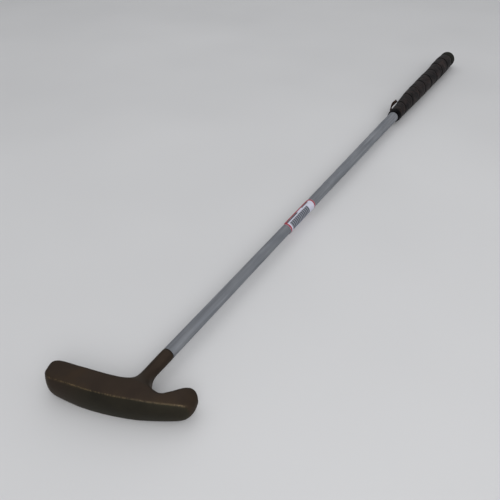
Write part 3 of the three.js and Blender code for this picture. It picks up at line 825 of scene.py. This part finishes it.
def winding_tree():
    tree = Tree("strip_winding")
    pitch = tree.input("Pitch", "Float", STRIP_PITCH)
    width = tree.input("Strip width", "Float", STRIP_WIDTH)
    turns = tree.input("Turns", "Float", TURNS)
    thickness = tree.input("Thickness", "Float", STRIP_THICKNESS)
    lap = tree.input("Lap", "Float", STRIP_LAP)
    skive = tree.input("Skive", "Float", STRIP_SKIVE)
    first = tree.input("Mouth", "Float", FIRST)
    last = tree.input("Butt", "Float", SHAFT_END)
    lead = tree.input("Lead", "Float", STRIP_END_WIDTH)
    radius = tree.input("Grip radius", "Float", GRIP_RADIUS)
    swell = tree.input("Swell", "Float", SWELL)
    start_angle = tree.input("Start angle", "Float", TAIL_ANGLE)
    axis_height = tree.input("Shaft height", "Float", SHAFT_HEIGHT)

    grid = tree.node("GeometryNodeMeshGrid", {
        "Size X": 1.0, "Size Y": 1.0, "Vertices X": 37, "Vertices Y": 900})
    position = tree.node("GeometryNodeInputPosition")
    flat = tree.node("ShaderNodeSeparateXYZ", {0: position.outputs[0]})
    over = tree.calc("ADD", flat.outputs[0], 0.5)
    run = tree.calc("ADD", flat.outputs[1], 0.5)
    turn = tree.calc("MULTIPLY", run, turns)

    # Place along the shaft, cut square at the mouth and at the cap
    lead_edge = tree.calc("ADD", tree.calc("ADD", first, lead), tree.calc("MULTIPLY", turn, pitch))
    offset = tree.calc("MULTIPLY", tree.calc("SUBTRACT", 1.0, over), width)
    along = tree.calc("SUBTRACT", lead_edge, offset)
    along = tree.calc("MINIMUM", tree.calc("MAXIMUM", along, first), last)

    # The grip's radius there: two curves of shares, the round form and the swell to one side
    angle = tree.calc("SUBTRACT", start_angle, tree.calc("MULTIPLY", turn, 2 * math.pi))
    share = tree.calc("DIVIDE", tree.calc("SUBTRACT", along, GRIP_START), GRIP_END - GRIP_START)
    lobe = tree.calc("COSINE", tree.calc("SUBTRACT", angle, SWELL_ANGLE))
    lobe = tree.calc("POWER", tree.calc("MULTIPLY", tree.calc("ADD", lobe, 1.0), 0.5), 2.0)
    swelling = tree.calc("MULTIPLY", share_curve(tree, SWELL_PROFILE, share), swell)
    swollen = tree.calc("MULTIPLY", swelling, lobe)
    base = tree.calc("ADD", tree.calc("MULTIPLY", share_curve(tree, GRIP_PROFILE, share), radius), swollen)

    # Lapped towards the mouth, thinned at the two edges, a little uneven all over
    tilt = tree.calc("MULTIPLY", lap, tree.calc("SUBTRACT", 1.0, tree.calc("MULTIPLY", over, 2.0)))
    middle = tree.calc("ABSOLUTE", tree.calc("SUBTRACT", tree.calc("MULTIPLY", over, 2.0), 1.0))
    thinned = tree.calc("MULTIPLY", skive, tree.calc("POWER", middle, 14.0))
    where = tree.node("ShaderNodeCombineXYZ", {0: tree.calc("MULTIPLY", turn, 3.0), 1: over})
    lumps = tree.node("ShaderNodeTexNoise", {"Vector": where.outputs[0], "Scale": 2.0, "Detail": 2.0})
    uneven = tree.calc("MULTIPLY", tree.calc("SUBTRACT", lumps.outputs[0], 0.62), STRIP_UNEVENNESS)
    outer = tree.calc("ADD", tree.calc("SUBTRACT", tree.calc("ADD", base, tilt), thinned), uneven)

    side = tree.calc("COSINE", angle)
    up = tree.calc("SINE", angle)

    def sheet(radius_field):
        place = tree.node("ShaderNodeCombineXYZ", {
            0: along, 1: tree.calc("MULTIPLY", radius_field, side),
            2: tree.calc("ADD", tree.calc("MULTIPLY", radius_field, up), axis_height)})
        moved = tree.node("GeometryNodeSetPosition", {
            "Geometry": stored.outputs[0], "Position": place.outputs[0]})
        return moved.outputs[0]

    marked = tree.node("GeometryNodeStoreNamedAttribute", {
        "Geometry": grid.outputs[0], "Name": "across", "Value": over})
    stored = tree.node("GeometryNodeStoreNamedAttribute", {
        "Geometry": marked.outputs[0], "Name": "turn_share", "Value": run})
    inner = tree.calc("SUBTRACT", base, thickness)
    top = sheet(outer)
    under = tree.node("GeometryNodeFlipFaces", {"Mesh": sheet(inner)}).outputs[0]
    both = tree.node("GeometryNodeJoinGeometry")
    tree.group.links.new(under, both.inputs[0])
    tree.group.links.new(top, both.inputs[0])
    realized = tree.node("GeometryNodeRealizeInstances", {"Geometry": both.outputs[0]})
    finish = tree.node("GeometryNodeSetMaterial", {
        "Geometry": realized.outputs[0], "Material": leather.material})
    tree.group.links.new(finish.outputs[0], tree.exit.inputs[0])
    return tree


def bridge_rims(mesh):
    """Joins the strip's two skins along their open rims, so it is one closed strap."""
    work = bmesh.new()
    work.from_mesh(mesh)
    rims = [edge for edge in work.edges if len(edge.link_faces) == 1]
    bmesh.ops.bridge_loops(work, edges=rims)
    bmesh.ops.recalc_face_normals(work, faces=work.faces)
    work.to_mesh(mesh)
    work.free()
    return mesh


strip_mesh = bridge_rims(winding_tree().run("wound_strip", leather.material))
wrap = add_object("wound_strip", strip_mesh)
print("strip:", round(TURNS, 2), "turns,", len(strip_mesh.polygons), "faces")

# %% [markdown]
# ### The loose end
# Beside the collar the strip's end has come unglued. It stands off the grip as a thin curl of
# leather that twists over towards its tip, so it is built as a row of flat rounded sections.

# %% Loose end
TAIL_LENGTH = 33.5 * MM
TAIL_RISE = 5 * MM
TAIL_WIDTH = 5 * MM
TAIL_THICKNESS = 1.3 * MM
TAIL_TWIST = math.radians(70)
TAIL_NARROWING = 0.15


def tail_rows(rings=60, sides=28):
    root = GRIP_START + 2 * STRIP_END_WIDTH
    outwards = Vector((0, math.cos(TAIL_ANGLE), math.sin(TAIL_ANGLE)))
    sideways = Vector((0, -math.sin(TAIL_ANGLE), math.cos(TAIL_ANGLE)))
    rows = []
    for i in range(rings + 1):
        share = i / rings
        along = root + TAIL_LENGTH * share ** 1.4
        rise = TAIL_RISE * math.sin(math.pi * (0.06 + 0.7 * share)) - TAIL_THICKNESS
        centre = Vector((along, 0, SHAFT_HEIGHT)) + outwards * (grip_radius(along, TAIL_ANGLE) + rise)
        eased = share * share * (3 - 2 * share)
        twist = TAIL_TWIST * eased
        width = sideways * math.cos(twist) + outwards * math.sin(twist)
        thick = outwards * math.cos(twist) - sideways * math.sin(twist)
        half = TAIL_WIDTH / 2 * (1 - TAIL_NARROWING * eased)
        row = []
        for s in range(sides):
            turn = 2 * math.pi * s / sides
            w = math.copysign(abs(math.cos(turn)) ** 0.5, math.cos(turn))
            t = math.copysign(abs(math.sin(turn)) ** 0.7, math.sin(turn))
            row.append(centre + width * (w * half) + thick * (t * TAIL_THICKNESS / 2))
        rows.append(row)
    return rows


tail_leather = Finish("loose_leather", Roughness=0.75, Specular_IOR_Level=0.08)
tail_tone = tail_leather.noise(140.0, detail=4.0)
tail_leather.colour(tail_leather.ramp(
    tail_tone, [(0.3, (0.013, 0.009, 0.008)), (0.7, (0.042, 0.022, 0.015))]))
tail_leather.bump(tail_leather.noise(900.0), 0.5, 0.1 * MM)
tail = add_object("loose_strip_end", grid_mesh("loose_strip_end", tail_rows(), caps=True))
tail.data.materials.append(tail_leather.material)
for piece in (wrap, tail):
    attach(piece, "root")
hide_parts("leather_wrap")
print("loose end:", len(tail.data.polygons), "faces")

# %% [markdown]
# ## Collar and cap
# A short black ring closes the grip's mouth, and a domed rubber cap closes its butt. The ring is
# turned. The cap is made of rings that are fuller on the grip's swollen side. Both have small
# rounded lips.

# %% Collar
COLLAR_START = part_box("grip_collar")[0][0]
COLLAR_FRONT_RADIUS = 8.3 * MM
COLLAR_RADIUS = 8.9 * MM
COLLAR_LIP = 0.7 * MM
collar_bore = TIP_RADIUS + STEP_COUNT * STEP_RISE + 0.25 * MM


def lip(along, radius, size, start, end, steps=6):
    """Points of a rounded corner, one size away from its centre, between two angles."""
    return [(along + size * math.cos(math.radians(a)), radius + size * math.sin(math.radians(a)))
            for a in np.linspace(start, end, steps)]


collar_outline = [(GRIP_START, collar_bore), (COLLAR_START, collar_bore)]
collar_outline += lip(COLLAR_START + COLLAR_LIP, COLLAR_FRONT_RADIUS - COLLAR_LIP, COLLAR_LIP, 180, 90)
collar_outline += lip(GRIP_START - 0.3 * MM, COLLAR_RADIUS - 0.3 * MM, 0.3 * MM, 90, 0)
collar = add_object("mouth_collar", turned("mouth_collar", collar_outline, closed=True))
black = Finish("black_plastic", Specular_IOR_Level=0.02)
black.colour(black.ramp(
    black.noise(250.0), [(0.3, (0.0015, 0.0015, 0.002)), (0.7, (0.004, 0.004, 0.0045))]))
black.roughness(black.ramp(black.noise(400.0), [(0.3, 0.4), (0.7, 0.55)]))
collar.data.materials.append(black.material)
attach(collar, "root")
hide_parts("grip_collar")
print("collar:", len(collar.data.polygons), "faces")

# %% Cap
CAP_START = 832 * MM
CAP_END = 857 * MM
CAP_RADIUS = 11.7 * MM
CAP_SWELL = 1.8 * MM
CAP_DOME = 9 * MM
CAP_STEM = 22 * MM
CAP_LEAD = 1.0 * MM
CAP_EDGE = 0.4 * MM
stem_radius = TIP_RADIUS + STEP_COUNT * STEP_RISE - SHAFT_WALL - 0.25 * MM


def swollen_ring(along, radius, swell, sides=96):
    angles = [2 * math.pi * s / sides for s in range(sides)]
    return [around(along, radius + swell * swell_towards(a), a) for a in angles]


cap_rings = [swollen_ring(CAP_START - CAP_STEM, radius, 0.0) for radius in (0.0, stem_radius - CAP_LEAD)]
cap_rings += [swollen_ring(CAP_START - CAP_STEM + CAP_LEAD, stem_radius, 0.0)]
cap_rings += [swollen_ring(CAP_START, stem_radius, 0.0)]
for along, radius in lip(CAP_START + CAP_EDGE, CAP_RADIUS - CAP_EDGE, CAP_EDGE, 180, 90):
    cap_rings.append(swollen_ring(along, radius, CAP_SWELL))
for k in range(33):
    turn = math.pi / 2 * k / 32
    along = CAP_END - CAP_DOME + CAP_DOME * math.sin(turn)
    cap_rings.append(swollen_ring(along, CAP_RADIUS * math.cos(turn), CAP_SWELL * math.cos(turn)))
cap = add_object("butt_dome", grid_mesh("butt_dome", cap_rings))
cap_finish = Finish("olive_rubber", Specular_IOR_Level=0.06)
cap_tone = cap_finish.noise(90.0, detail=5.0)
cap_finish.colour(cap_finish.ramp(
    cap_tone, [(0.3, (0.0105, 0.0100, 0.0085)), (0.7, (0.0190, 0.0180, 0.0150))]))
cap_finish.roughness(cap_finish.ramp(cap_tone, [(0.3, 0.6), (0.7, 0.75)]))
cap_finish.bump(cap_finish.noise(1200.0), 0.3, 0.06 * MM)
cap.data.materials.append(cap_finish.material)
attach(cap, "root")
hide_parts("butt_cap")
print("cap:", len(cap.data.polygons), "faces")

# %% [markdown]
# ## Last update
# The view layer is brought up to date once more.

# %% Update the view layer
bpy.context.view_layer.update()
